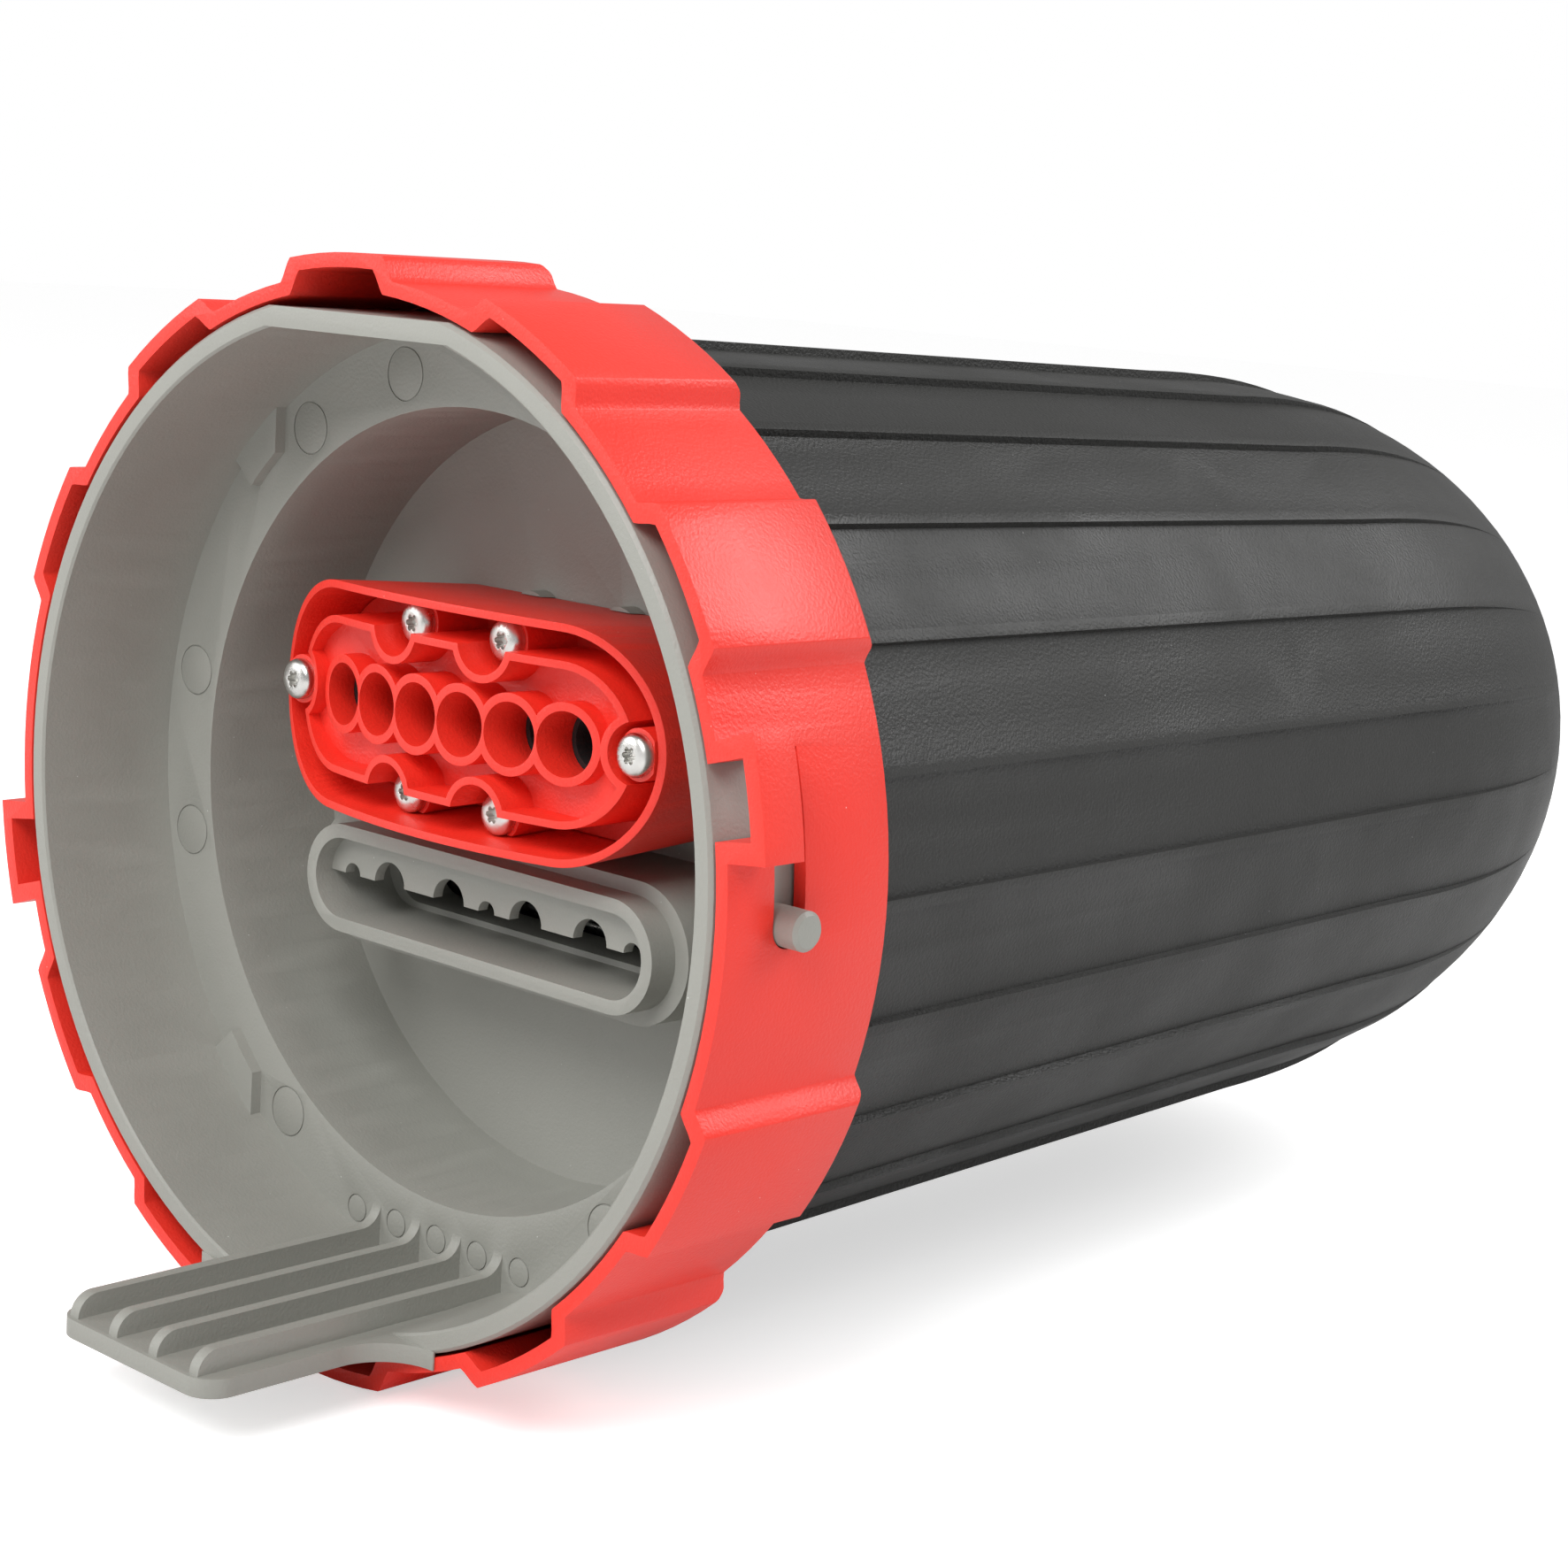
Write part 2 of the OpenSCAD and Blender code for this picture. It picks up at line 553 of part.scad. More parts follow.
module carrier_screws() color([0.75, 0.76, 0.77])
    for (s = [-1, 1]) translate([s * (carrier_hw - 12), floor_back + 3, carrier_z - 8]) {
        cyl_y(1.6, -5.5, 1);
        cyl_y(3.2, 0, 2.2);
    }

module hinge_rod(i) color([0.75, 0.76, 0.77])
    translate([-carrier_hw, hinge_y, tray_z0 + i * tray_step + tray_h / 2])
        rotate([0, 90, 0]) cylinder(r = rod_r - 0.05, h = 2 * carrier_hw, $fn = 32);
module hinge_rod_1() hinge_rod(0);
module hinge_rod_2() hinge_rod(1);
module hinge_rod_3() hinge_rod(2);

module splice_tray(i) color([0.16, 0.17, 0.18]) translate([0, hinge_y, tray_z0 + i * tray_step]) {
    y0 = 6;
    difference() {
        union() {
            translate([-tray_hw, y0, 0]) cube([2 * tray_hw, tray_len - tray_corner, tray_h]);
            translate([-(tray_hw - tray_corner), y0, 0]) cube([2 * (tray_hw - tray_corner), tray_len, tray_h]);
            for (s = [-1, 1]) translate([s * (tray_hw - tray_corner), y0 + tray_len - tray_corner, 0])
                cylinder(r = tray_corner, h = tray_h);
        }
        difference() {
            union() {
                translate([-(tray_hw - 1.6), y0 + 1.6, 1.6]) cube([2 * tray_hw - 3.2, tray_len - tray_corner - 1.6, tray_h]);
                translate([-(tray_hw - tray_corner), y0 + 1.6, 1.6]) cube([2 * (tray_hw - tray_corner), tray_len - 3.2, tray_h]);
                for (s = [-1, 1]) translate([s * (tray_hw - tray_corner), y0 + tray_len - tray_corner, 1.6])
                    cylinder(r = tray_corner - 1.6, h = tray_h);
            }
            // bobbins that the fibre loops run round
            for (y = [bobbin_y, tray_len - bobbin_y + 6]) translate([0, y0 + y, 0]) difference() {
                cylinder(r = bobbin_r, h = tray_h - 1);
                translate([0, 0, 1.6]) cylinder(r = bobbin_r - 1.6, h = tray_h);
            }
        }
    }
    // hinge ears
    for (s = [-1, 1]) difference() {
        union() {
            translate([s > 0 ? tray_hw - 8 : -tray_hw, 0, tray_h / 2 - 2.8]) cube([8, y0 + 1, 5.6]);
            translate([s > 0 ? tray_hw - 8 : -tray_hw, 0, tray_h / 2]) rotate([0, 90, 0]) cylinder(r = 2.8, h = 8, $fn = 32);
        }
        translate([s > 0 ? tray_hw - 9 : -tray_hw - 1, 0, tray_h / 2]) rotate([0, 90, 0]) cylinder(r = rod_r, h = 10, $fn = 32);
    }
}
module splice_tray_1() splice_tray(0);
module splice_tray_2() splice_tray(1);
module splice_tray_3() splice_tray(2);

module splice_holder(i) color([0.35, 0.36, 0.38])
    translate([-holder_hw, hinge_y + 6 + tray_len / 2 - bobbin_y / 3, tray_z0 + i * tray_step + 1.6]) difference() {
        cube([2 * holder_hw, holder_len, tray_h - 3]);
        for (k = [0 : 8]) translate([holder_hw * (0.16 + k / 5), -1, 1.4]) cube([holder_hw * 0.08, holder_len + 2, tray_h]);
    }
module splice_holder_1() splice_holder(0);
module splice_holder_2() splice_holder(1);
module splice_holder_3() splice_holder(2);

module tray_lid() color([0.75, 0.78, 0.8]) translate([0, hinge_y + 6, tray_z0 + (trays - 1) * tray_step + tray_h]) {
    translate([-tray_hw, 0, 0]) cube([2 * tray_hw, tray_len - tray_corner, 1.2]);
    translate([-(tray_hw - tray_corner), 0, 0]) cube([2 * (tray_hw - tray_corner), tray_len, 1.2]);
    for (s = [-1, 1]) translate([s * (tray_hw - tray_corner), tray_len - tray_corner, 0]) cylinder(r = tray_corner, h = 1.2);
}

base();
dome_seal();
dome_cover();
locking_ring();
gland_housing();
port_plate();
gland_seal();
gland_back_plate();
gland_screw_1();
gland_screw_2();
gland_screw_3();
gland_screw_4();
gland_screw_5();
gland_screw_6();
tray_carrier();
carrier_screws();
hinge_rod_1();
hinge_rod_2();
hinge_rod_3();
splice_tray_1();
splice_tray_2();
splice_tray_3();
splice_holder_1();
splice_holder_2();
splice_holder_3();
tray_lid();
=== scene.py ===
"""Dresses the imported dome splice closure: moulded plastics, plated screws, studio and camera.

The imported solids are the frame. Moulded pieces are dressed copies of their solids with
rounded edges, the pieces inside keep their solids, and every finish is built from nodes.
"""

import logging
import math
from dataclasses import dataclass, field
from enum import Enum

import bmesh
import bpy
from mathutils import Matrix, Vector


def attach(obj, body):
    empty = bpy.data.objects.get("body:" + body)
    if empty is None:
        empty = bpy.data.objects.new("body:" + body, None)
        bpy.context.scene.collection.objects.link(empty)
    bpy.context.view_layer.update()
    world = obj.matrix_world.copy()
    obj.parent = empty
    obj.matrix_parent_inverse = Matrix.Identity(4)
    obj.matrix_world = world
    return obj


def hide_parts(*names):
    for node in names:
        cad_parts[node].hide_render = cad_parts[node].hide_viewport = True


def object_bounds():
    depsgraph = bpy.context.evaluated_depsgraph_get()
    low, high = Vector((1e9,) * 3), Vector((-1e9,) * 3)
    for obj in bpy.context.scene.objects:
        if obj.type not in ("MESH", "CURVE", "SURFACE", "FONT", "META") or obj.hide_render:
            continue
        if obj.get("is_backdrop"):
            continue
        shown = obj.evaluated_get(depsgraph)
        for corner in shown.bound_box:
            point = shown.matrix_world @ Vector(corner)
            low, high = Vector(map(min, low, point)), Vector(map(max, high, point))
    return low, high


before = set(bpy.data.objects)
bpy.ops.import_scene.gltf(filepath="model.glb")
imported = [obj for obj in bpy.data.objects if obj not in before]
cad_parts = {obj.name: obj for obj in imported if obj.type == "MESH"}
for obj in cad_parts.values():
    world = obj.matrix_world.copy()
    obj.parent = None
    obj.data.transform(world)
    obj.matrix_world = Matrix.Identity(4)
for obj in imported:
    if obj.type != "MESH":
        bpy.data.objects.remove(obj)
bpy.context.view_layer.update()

SCREWS = 6
MERGE_DISTANCE = 2e-6
FLAT_ANGLE = 0.6
SMOOTH_ANGLE = 30.0
ROUNDING_STEPS = 3
BASE_BODY = "base_and_dome"
RING_BODY = "ring"

logging.basicConfig(level=logging.INFO, format="%(message)s")
log = logging.getLogger("closure")


class Side(Enum):
    """Which body a piece rides on."""

    BASE = BASE_BODY
    RING = RING_BODY


# ---------------------------------------------------------------- node helpers


def add_socket(tree: bpy.types.NodeTree, name: str, kind: str, way: str, value: float | None = None) -> None:
    """Adds one named socket to a node group's interface.

    Args:
        tree: The group.
        name: The socket's name.
        kind: Socket type, such as "NodeSocketFloat".
        way: "INPUT" or "OUTPUT".
        value: Default value of an input.
    """
    socket = tree.interface.new_socket(name=name, in_out=way, socket_type=kind)
    if value is not None:
        socket.default_value = value


def mould_grain_group() -> bpy.types.NodeTree:
    """Builds the fine spark-eroded grain that moulded plastic has.

    Returns:
        A shader group with inputs Scale, Flow and outputs Height, Mottle.
    """
    tree = bpy.data.node_groups.new("MouldGrain", "ShaderNodeTree")
    add_socket(tree, "Scale", "NodeSocketFloat", "INPUT", 1.0)
    add_socket(tree, "Flow", "NodeSocketFloat", "INPUT", 0.3)
    add_socket(tree, "Height", "NodeSocketFloat", "OUTPUT")
    add_socket(tree, "Mottle", "NodeSocketFloat", "OUTPUT")
    nodes, links = tree.nodes, tree.links
    gin = nodes.new("NodeGroupInput")
    gout = nodes.new("NodeGroupOutput")
    coord = nodes.new("ShaderNodeTexCoord")
    scaled = nodes.new("ShaderNodeVectorMath")
    scaled.operation = "SCALE"
    links.new(coord.outputs["Object"], scaled.inputs[0])
    links.new(gin.outputs["Scale"], scaled.inputs["Scale"])
    fine = nodes.new("ShaderNodeTexNoise")
    fine.inputs["Scale"].default_value = 1500.0
    fine.inputs["Detail"].default_value = 2.0
    broad = nodes.new("ShaderNodeTexNoise")
    broad.inputs["Scale"].default_value = 28.0
    broad.inputs["Detail"].default_value = 3.0
    for noise in (fine, broad):
        links.new(scaled.outputs[0], noise.inputs["Vector"])
    flow = nodes.new("ShaderNodeMath")
    flow.operation = "MULTIPLY_ADD"
    links.new(broad.outputs["Fac"], flow.inputs[0])
    links.new(gin.outputs["Flow"], flow.inputs[1])
    links.new(fine.outputs["Fac"], flow.inputs[2])
    links.new(flow.outputs[0], gout.inputs["Height"])
    links.new(broad.outputs["Fac"], gout.inputs["Mottle"])
    return tree


def dust_group() -> bpy.types.NodeTree:
    """Builds sparse specks of dust and small scuffs.

    Returns:
        A shader group with inputs Amount, Scale and output Mask.
    """
    tree = bpy.data.node_groups.new("DustSpecks", "ShaderNodeTree")
    add_socket(tree, "Amount", "NodeSocketFloat", "INPUT", 0.1)
    add_socket(tree, "Scale", "NodeSocketFloat", "INPUT", 180.0)
    add_socket(tree, "Mask", "NodeSocketFloat", "OUTPUT")
    nodes, links = tree.nodes, tree.links
    gin = nodes.new("NodeGroupInput")
    gout = nodes.new("NodeGroupOutput")
    coord = nodes.new("ShaderNodeTexCoord")
    cells = nodes.new("ShaderNodeTexVoronoi")
    cells.inputs["Randomness"].default_value = 1.0
    links.new(coord.outputs["Object"], cells.inputs["Vector"])
    links.new(gin.outputs["Scale"], cells.inputs["Scale"])
    patch = nodes.new("ShaderNodeTexNoise")
    patch.inputs["Scale"].default_value = 14.0
    links.new(coord.outputs["Object"], patch.inputs["Vector"])
    size = nodes.new("ShaderNodeMath")
    size.operation = "MULTIPLY"
    links.new(gin.outputs["Amount"], size.inputs[0])
    links.new(patch.outputs["Fac"], size.inputs[1])
    speck = nodes.new("ShaderNodeMath")
    speck.operation = "LESS_THAN"
    links.new(cells.outputs["Distance"], speck.inputs[0])
    links.new(size.outputs[0], speck.inputs[1])
    links.new(speck.outputs[0], gout.inputs["Mask"])
    return tree


# ---------------------------------------------------------------- finishes


@dataclass(frozen=True)
class MouldedPlastic:
    """A moulded plastic with its grain, its slight mottling and its specks of dust.

    Attributes:
        name: Material name.
        color: Linear base colour.
        deep: Linear colour of the darker mottling.
        roughness: Middle roughness.
        spread: How far the roughness varies.
        bump: Depth of the grain.
        grain: Scale of the grain.
        dust: Amount of dust.
        coat: Weight of a thin glossy skin.
    """

    name: str
    color: tuple[float, float, float]
    deep: tuple[float, float, float]
    roughness: float
    spread: float = 0.08
    bump: float = 0.05
    grain: float = 1.0
    dust: float = 0.05
    coat: float = 0.0

    def build(self, groups: dict[str, bpy.types.NodeTree]) -> bpy.types.Material:
        """Builds the material.

        Args:
            groups: The shared shader groups by name.

        Returns:
            The finished material.
        """
        mat = bpy.data.materials.new(self.name)
        mat.use_nodes = True
        nodes, links = mat.node_tree.nodes, mat.node_tree.links
        bsdf = nodes["Principled BSDF"]
        bsdf.inputs["Specular IOR Level"].default_value = 0.5
        bsdf.inputs["Coat Weight"].default_value = self.coat
        bsdf.inputs["Coat Roughness"].default_value = 0.25
        grain = nodes.new("ShaderNodeGroup")
        grain.node_tree = groups["grain"]
        grain.inputs["Scale"].default_value = self.grain
        grain.inputs["Flow"].default_value = 0.6
        dust = nodes.new("ShaderNodeGroup")
        dust.node_tree = groups["dust"]
        dust.inputs["Amount"].default_value = self.dust
        tone = nodes.new("ShaderNodeMix")
        tone.data_type = "RGBA"
        tone.inputs["A"].default_value = (*self.deep, 1.0)
        tone.inputs["B"].default_value = (*self.color, 1.0)
        links.new(grain.outputs["Mottle"], tone.inputs["Factor"])
        speck = nodes.new("ShaderNodeMix")
        speck.data_type = "RGBA"
        links.new(tone.outputs["Result"], speck.inputs["A"])
        pale = tuple(min(1.0, 0.35 + 0.6 * c) for c in self.color)
        speck.inputs["B"].default_value = (*pale, 1.0)
        links.new(dust.outputs["Mask"], speck.inputs["Factor"])
        links.new(speck.outputs["Result"], bsdf.inputs["Base Color"])
        rough = nodes.new("ShaderNodeMapRange")
        rough.inputs["From Min"].default_value = 0.3
        rough.inputs["From Max"].default_value = 0.7
        rough.inputs["To Min"].default_value = self.roughness - self.spread
        rough.inputs["To Max"].default_value = self.roughness + self.spread
        links.new(grain.outputs["Mottle"], rough.inputs["Value"])
        links.new(rough.outputs["Result"], bsdf.inputs["Roughness"])
        bump = nodes.new("ShaderNodeBump")
        bump.inputs["Strength"].default_value = self.bump
        bump.inputs["Distance"].default_value = 0.0006
        links.new(grain.outputs["Height"], bump.inputs["Height"])
        links.new(bump.outputs["Normal"], bsdf.inputs["Normal"])
        return mat


@dataclass(frozen=True)
class PlatedSteel:
    """Bright zinc plate with a fine blotchy roughness.

    Attributes:
        name: Material name.
        color: Linear base colour.
        roughness: Middle roughness.
    """

    name: str
    color: tuple[float, float, float]
    roughness: float

    def build(self, groups: dict[str, bpy.types.NodeTree]) -> bpy.types.Material:
        """Builds the material.

        Args:
            groups: The shared shader groups by name.

        Returns:
            The finished material.
        """
        mat = bpy.data.materials.new(self.name)
        mat.use_nodes = True
        nodes, links = mat.node_tree.nodes, mat.node_tree.links
        bsdf = nodes["Principled BSDF"]
        bsdf.inputs["Metallic"].default_value = 1.0
        grain = nodes.new("ShaderNodeGroup")
        grain.node_tree = groups["grain"]
        grain.inputs["Scale"].default_value = 6.0
        grain.inputs["Flow"].default_value = 1.0
        tone = nodes.new("ShaderNodeMix")
        tone.data_type = "RGBA"
        tone.inputs["A"].default_value = tuple(c * 0.7 for c in self.color) + (1.0,)
        tone.inputs["B"].default_value = (*self.color, 1.0)
        links.new(grain.outputs["Mottle"], tone.inputs["Factor"])
        links.new(tone.outputs["Result"], bsdf.inputs["Base Color"])
        rough = nodes.new("ShaderNodeMapRange")
        rough.inputs["From Min"].default_value = 0.3
        rough.inputs["From Max"].default_value = 0.7
        rough.inputs["To Min"].default_value = self.roughness - 0.07
        rough.inputs["To Max"].default_value = self.roughness + 0.12
        links.new(grain.outputs["Mottle"], rough.inputs["Value"])
        links.new(rough.outputs["Result"], bsdf.inputs["Roughness"])
        bump = nodes.new("ShaderNodeBump")
        bump.inputs["Strength"].default_value = 0.12
        bump.inputs["Distance"].default_value = 0.0002
        links.new(grain.outputs["Height"], bump.inputs["Height"])
        links.new(bump.outputs["Normal"], bsdf.inputs["Normal"])
        return mat


class Finishes:
    """All materials of the closure, built once."""

    def __init__(self) -> None:
        """Builds the shared groups and each material."""
        groups = {"grain": mould_grain_group(), "dust": dust_group()}
        self.red = MouldedPlastic(
            "SignalRedPlastic", (0.83, 0.035, 0.018), (0.70, 0.022, 0.013), 0.42, bump=0.22, dust=0.045
        ).build(groups)
        self.grey = MouldedPlastic(
            "StoneGreyPlastic", (0.305, 0.305, 0.275), (0.262, 0.262, 0.236), 0.46, bump=0.16, dust=0.04
        ).build(groups)
        self.black = MouldedPlastic(
            "CarbonBlackPlastic", (0.0105, 0.0105, 0.0090), (0.0080, 0.0080, 0.0068), 0.52, bump=0.35, dust=0.03
        ).build(groups)
        self.rubber = MouldedPlastic(
            "SealRubber", (0.020, 0.020, 0.020), (0.014, 0.014, 0.014), 0.68, bump=0.3, dust=0.03
        ).build(groups)
        self.tray = MouldedPlastic(
            "TrayPlastic", (0.050, 0.052, 0.056), (0.040, 0.042, 0.045), 0.5, bump=0.2, dust=0.03
        ).build(groups)
        self.holder = MouldedPlastic(
            "HolderPlastic", (0.20, 0.21, 0.22), (0.16, 0.17, 0.18), 0.5, bump=0.2, dust=0.03
        ).build(groups)
        self.lid = MouldedPlastic(
            "LidPlastic", (0.62, 0.66, 0.68), (0.55, 0.6, 0.62), 0.3, bump=0.05, dust=0.03
        ).build(groups)
        self.steel = PlatedSteel("ZincPlate", (0.78, 0.77, 0.74), 0.27).build(groups)


# ---------------------------------------------------------------- mesh helpers


def new_object(name: str, mesh: bpy.types.Mesh) -> bpy.types.Object:
    """Links a mesh into the scene as an object at the origin.

    Args:
        name: Object name.
        mesh: Its mesh.

    Returns:
        The object.
    """
    obj = bpy.data.objects.new(name, mesh)
    bpy.context.scene.collection.objects.link(obj)
    return obj


def bake_modifiers(obj: bpy.types.Object) -> None:
    """Turns an object's evaluated shape into its plain mesh and removes its modifiers.

    Args:
        obj: The object to bake.
    """
    depsgraph = bpy.context.evaluated_depsgraph_get()
    baked = bpy.data.meshes.new_from_object(obj.evaluated_get(depsgraph), depsgraph=depsgraph)
    obj.modifiers.clear()
    old = obj.data
    obj.data = baked
    if old.users == 0:
        bpy.data.meshes.remove(old)


def smooth_by_angle(mesh: bpy.types.Mesh, degrees: float) -> None:
    """Shades a mesh smooth and keeps edges sharper than an angle crisp.

    Args:
        mesh: The mesh.
        degrees: Edges that turn more than this stay sharp.
    """
    work = bmesh.new()
    work.from_mesh(mesh)
    limit = math.radians(degrees)
    for face in work.faces:
        face.smooth = True
    for edge in work.edges:
        edge.smooth = len(edge.link_faces) == 2 and edge.calc_face_angle(0.0) < limit
    work.to_mesh(mesh)
    work.free()


def moulded_copy(node: str, name: str, rounding: float, sharp: float = 32.0) -> bpy.types.Object:
    """Copies a CAD solid and rounds its edges as a mould does.

    Args:
        node: The CAD node.
        name: Name of the new piece.
        rounding: Width of the rounding in metres.
        sharp: Edges that turn more than this many degrees are rounded.

    Returns:
        The new piece, with its mesh in the row frame.
    """
    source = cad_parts[node]
    mesh = source.data.copy()
    work = bmesh.new()
    work.from_mesh(mesh)
    bmesh.ops.remove_doubles(work, verts=work.verts, dist=MERGE_DISTANCE)
    bmesh.ops.dissolve_limit(
        work, angle_limit=math.radians(FLAT_ANGLE), verts=work.verts, edges=work.edges, delimit={"NORMAL"}
    )
    work.to_mesh(mesh)
    work.free()
    mesh.materials.clear()
    piece = new_object(name, mesh)
    bevel = piece.modifiers.new("rounding", "BEVEL")
    bevel.width = rounding
    bevel.segments = ROUNDING_STEPS
    bevel.limit_method = "ANGLE"
    bevel.angle_limit = math.radians(sharp)
    bevel.use_clamp_overlap = True
    bevel.harden_normals = False
    bevel.miter_outer = "MITER_ARC"
    bake_modifiers(piece)
    smooth_by_angle(piece.data, SMOOTH_ANGLE)
    return piece


def dress(obj: bpy.types.Object, mat: bpy.types.Material) -> None:
    """Gives an object one material.

    Args:
        obj: The object.
        mat: Its material.
    """
    obj.data.materials.clear()
    obj.data.materials.append(mat)


def replace_with(piece: bpy.types.Object, side: Side, slot: str, mat: bpy.types.Material, *nodes: str) -> None:
    """Dresses a piece, lets it ride and stand for its CAD nodes.

    Args:
        piece: The new piece.
        side: The body it rides on.
        slot: The record's material slot; not used.
        mat: Its material.
        nodes: The CAD nodes that it stands for.
    """
    dress(piece, mat)
    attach(piece, side.value)
    if nodes:
        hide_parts(*nodes)
    log.info("%s: %d faces on %s", piece.name, len(piece.data.polygons), side.value)


# ---------------------------------------------------------------- sub-assemblies


@dataclass
class Moulding:
    """A moulded piece that is its CAD solid with rounded edges.

    Attributes:
        node: The CAD node.
        name: Name of the piece.
        slot: The record's material slot.
        side: The body it rides on.
        rounding: Width of the rounding in metres.
        sharp: Least turn of an edge that is rounded, in degrees.
    """

    node: str
    name: str
    slot: str
    side: Side
    rounding: float = 0.0005
    sharp: float = 32.0

    def build(self, mat: bpy.types.Material) -> bpy.types.Object:
        """Makes the piece.

        Args:
            mat: Its material.

        Returns:
            The piece.
        """
        piece = moulded_copy(self.node, self.name, self.rounding, self.sharp)
        replace_with(piece, self.side, self.slot, mat, self.node)
        return piece


class InsideParts:
    """The pieces that the dome hides, which keep their CAD solids."""

    FINISH_OF = {
        "dome_seal": "rubber",
        "gland_seal": "rubber",
        "gland_back_plate": "red",
        "tray_carrier": "grey",
        "carrier_screws": "steel",
        "hinge_rod_1": "steel",
        "hinge_rod_2": "steel",
        "hinge_rod_3": "steel",
        "splice_tray_1": "tray",
        "splice_tray_2": "tray",
        "splice_tray_3": "tray",
        "splice_holder_1": "holder",
        "splice_holder_2": "holder",
        "splice_holder_3": "holder",
        "tray_lid": "lid",
    }

    def dress_all(self, finishes: Finishes) -> None:
        """Gives each inner solid its finish.

        Args:
            finishes: The materials.
        """
        for node, finish in self.FINISH_OF.items():
            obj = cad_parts[node]
            if not obj.data.materials:
                obj.data.materials.append(None)
            for slot in obj.material_slots:
                slot.material = getattr(finishes, finish)
            log.info("%s: dressed as %s", node, finish)


# ---------------------------------------------------------------- studio


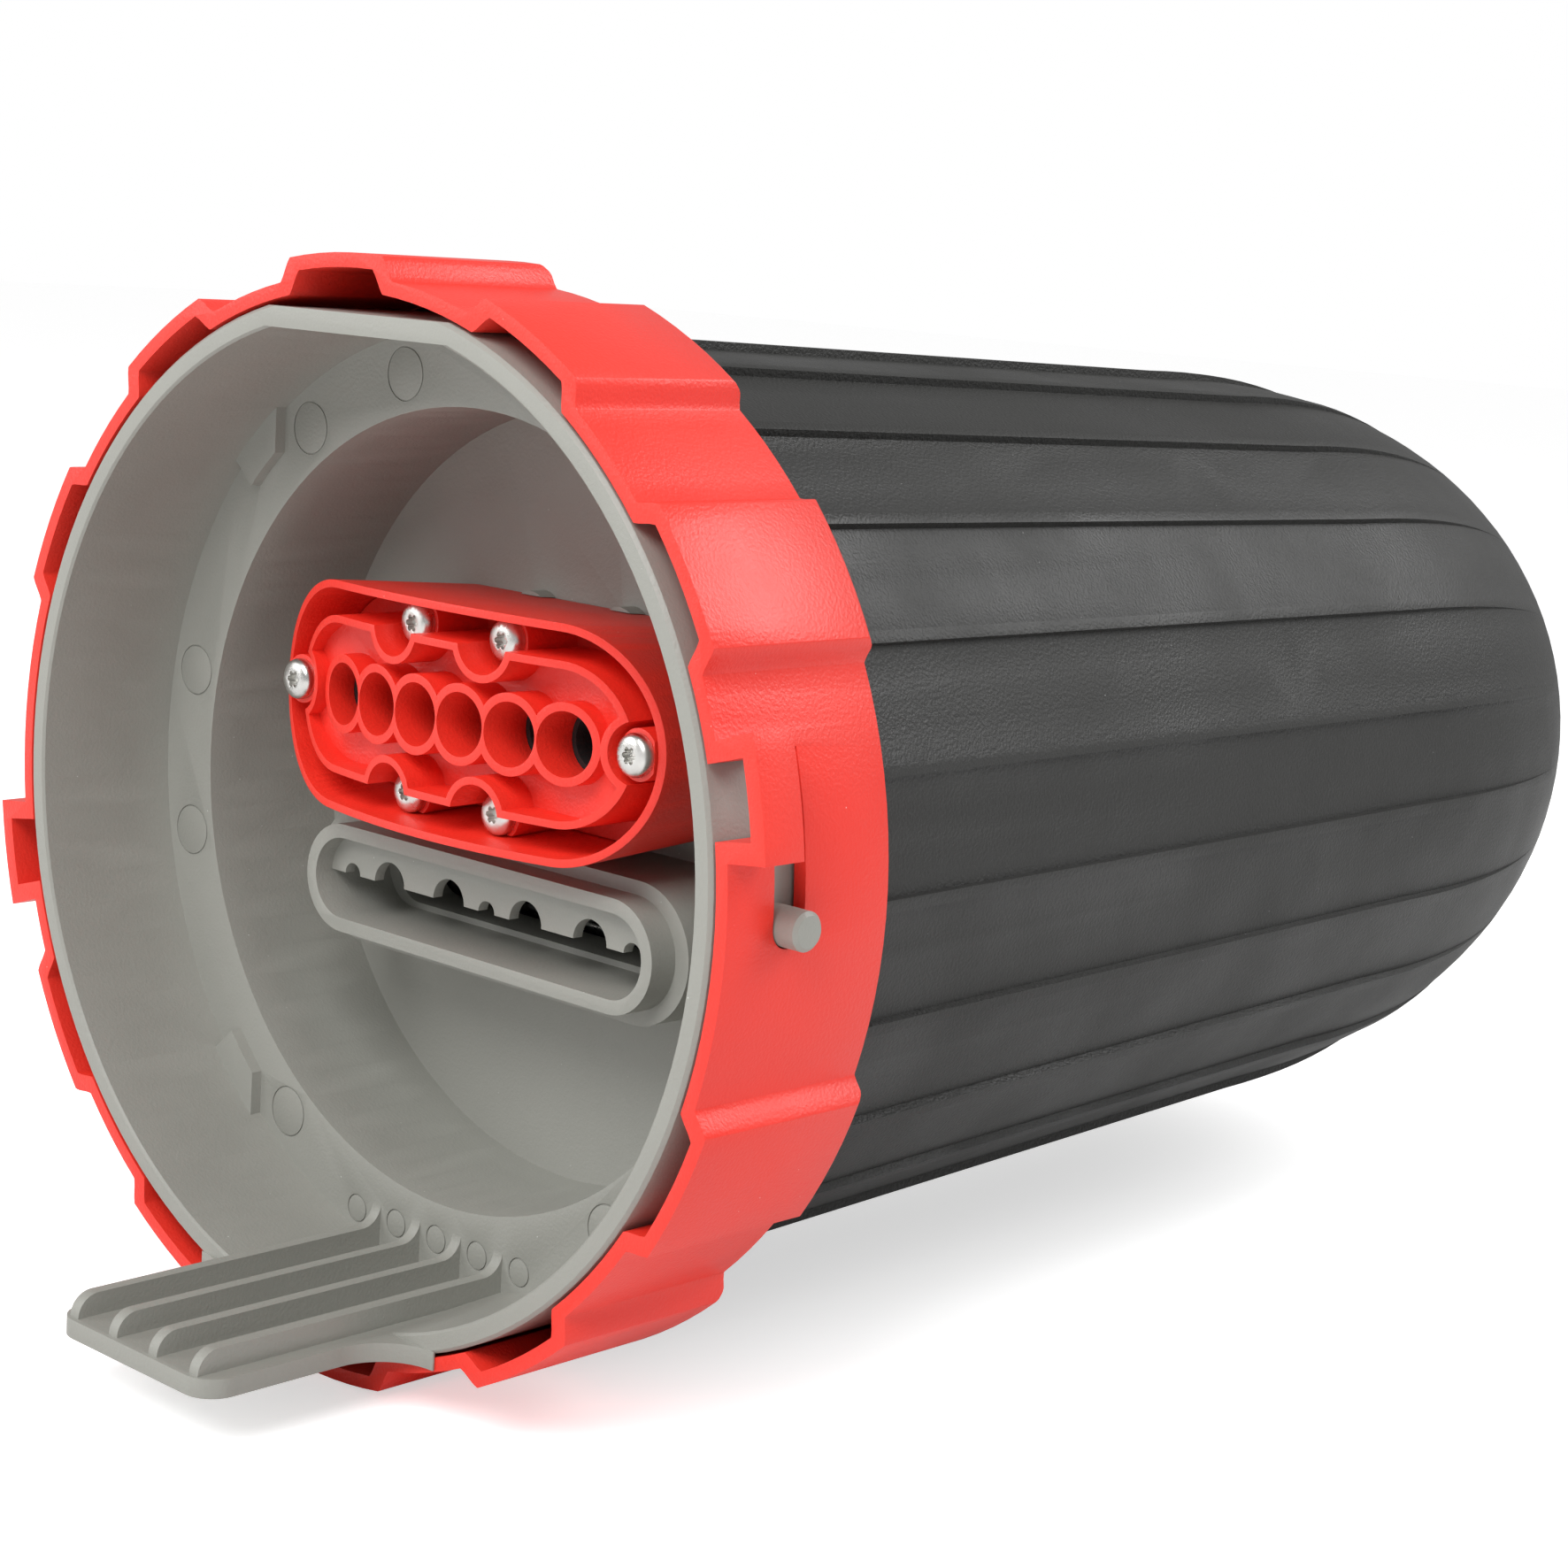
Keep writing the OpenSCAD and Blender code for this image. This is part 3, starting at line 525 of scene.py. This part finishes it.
@dataclass
class Studio:
    """Floor, backdrop, lamps and camera.

    Attributes:
        azimuth: Direction of the camera round the object, in degrees.
        elevation: Height of the camera over the horizon, in degrees.
        roll: Turn of the camera about its own axis, in degrees.
        place: Camera position in metres.
        lens: Focal length in millimetres on a 36 mm frame.
    """

    azimuth: float = 42.481
    elevation: float = 9.949
    roll: float = 3.782
    place: tuple[float, float, float] = (0.45105, -0.36737, 0.11538)
    lens: float = 71.36
    lamps: list[tuple[str, tuple[float, float, float], float, float]] = field(
        default_factory=lambda: [
            ("key", (0.35, -0.95, 1.05), 0.9, 17.0),
            ("fill", (-0.9, -0.9, 0.5), 1.0, 6.0),
            ("back", (0.7, 0.95, 0.85), 0.8, 10.0),
        ]
    )

    def camera(self) -> None:
        """Places the camera."""
        data = bpy.data.cameras.new("camera")
        data.lens = self.lens
        data.sensor_width = 36.0
        data.clip_start = 0.01
        data.clip_end = 50.0
        cam = bpy.data.objects.new("camera", data)
        bpy.context.scene.collection.objects.link(cam)
        a, e, r = (math.radians(v) for v in (self.azimuth, self.elevation, self.roll))
        back = Vector((math.sin(a) * math.cos(e), -math.cos(a) * math.cos(e), math.sin(e)))
        right = Vector((math.cos(a), math.sin(a), 0.0))
        up = back.cross(right)
        right_r = math.cos(r) * right + math.sin(r) * up
        up_r = -math.sin(r) * right + math.cos(r) * up
        turn = Matrix((right_r, up_r, back)).transposed()
        cam.matrix_world = Matrix.Translation(Vector(self.place)) @ turn.to_4x4()
        bpy.context.scene.camera = cam

    def light(self) -> None:
        """Places the soft lamps and the plain world."""
        aim = Vector((0.0, 0.08, 0.0))
        for name, place, size, power in self.lamps:
            data = bpy.data.lights.new(name, "AREA")
            data.shape = "DISK"
            data.size = size
            data.energy = power
            lamp = bpy.data.objects.new(name, data)
            lamp.location = place
            lamp.rotation_euler = (aim - Vector(place)).to_track_quat("-Z", "Y").to_euler()
            bpy.context.scene.collection.objects.link(lamp)
        world = bpy.data.worlds.new("world")
        world.use_nodes = True
        bpy.context.scene.world = world
        nodes, links = world.node_tree.nodes, world.node_tree.links
        soft = nodes["Background"]
        soft.inputs["Color"].default_value = (1.0, 1.0, 1.0, 1.0)
        soft.inputs["Strength"].default_value = 0.5
        white = nodes.new("ShaderNodeBackground")
        white.inputs["Color"].default_value = (1.0, 1.0, 1.0, 1.0)
        white.inputs["Strength"].default_value = 1.0
        path = nodes.new("ShaderNodeLightPath")
        seen = nodes.new("ShaderNodeMath")
        seen.operation = "MAXIMUM"
        links.new(path.outputs["Is Camera Ray"], seen.inputs[0])
        links.new(path.outputs["Is Transmission Ray"], seen.inputs[1])
        mix = nodes.new("ShaderNodeMixShader")
        links.new(seen.outputs[0], mix.inputs["Fac"])
        links.new(soft.outputs[0], mix.inputs[1])
        links.new(white.outputs[0], mix.inputs[2])
        links.new(mix.outputs[0], nodes["World Output"].inputs["Surface"])

    def floor(self) -> None:
        """Lays the pale floor under the object."""
        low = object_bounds()[0][2]
        mesh = bpy.data.meshes.new("floor")
        half = 6.0
        mesh.from_pydata(
            [(-half, -half, low), (half, -half, low), (half, half, low), (-half, half, low)], [], [(0, 1, 2, 3)]
        )
        floor = new_object("floor", mesh)
        mat = bpy.data.materials.new("PaleFloor")
        mat.use_nodes = True
        nodes, links = mat.node_tree.nodes, mat.node_tree.links
        bsdf = nodes["Principled BSDF"]
        bsdf.inputs["Base Color"].default_value = (0.86, 0.86, 0.86, 1.0)
        bsdf.inputs["Roughness"].default_value = 0.9
        glow = nodes.new("ShaderNodeEmission")
        glow.inputs["Color"].default_value = (1.0, 1.0, 1.0, 1.0)
        glow.inputs["Strength"].default_value = 0.55
        both = nodes.new("ShaderNodeAddShader")
        path = nodes.new("ShaderNodeLightPath")
        mix = nodes.new("ShaderNodeMixShader")
        links.new(bsdf.outputs[0], both.inputs[0])
        links.new(glow.outputs[0], both.inputs[1])
        links.new(path.outputs["Is Camera Ray"], mix.inputs["Fac"])
        links.new(bsdf.outputs[0], mix.inputs[1])
        links.new(both.outputs[0], mix.inputs[2])
        links.new(mix.outputs[0], nodes["Material Output"].inputs["Surface"])
        dress(floor, mat)
        floor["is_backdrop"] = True

    def build(self) -> None:
        """Builds the whole studio."""
        self.camera()
        self.light()
        self.floor()
        bpy.context.scene.view_settings.view_transform = "Standard"


def main() -> None:
    """Builds the closure piece by piece."""
    finishes = Finishes()
    Studio().build()
    Moulding("base", "base_moulding", "grey_plastic", Side.BASE, 0.0005).build(finishes.grey)
    Moulding("locking_ring", "ring_moulding", "red_plastic", Side.RING, 0.0006).build(finishes.red)
    Moulding("dome_cover", "dome_moulding", "black_plastic", Side.BASE, 0.0004).build(finishes.black)
    Moulding("gland_housing", "gland_shell", "red_plastic", Side.BASE, 0.0006).build(finishes.red)
    Moulding("port_plate", "port_moulding", "red_plastic", Side.BASE, 0.0004).build(finishes.red)
    for i in range(1, SCREWS + 1):
        node = f"gland_screw_{i}"
        Moulding(node, f"pan_screw_{i}", "screw_steel", Side.BASE, 0.0001).build(finishes.steel)
    InsideParts().dress_all(finishes)


if __name__ == "__main__":
    main()
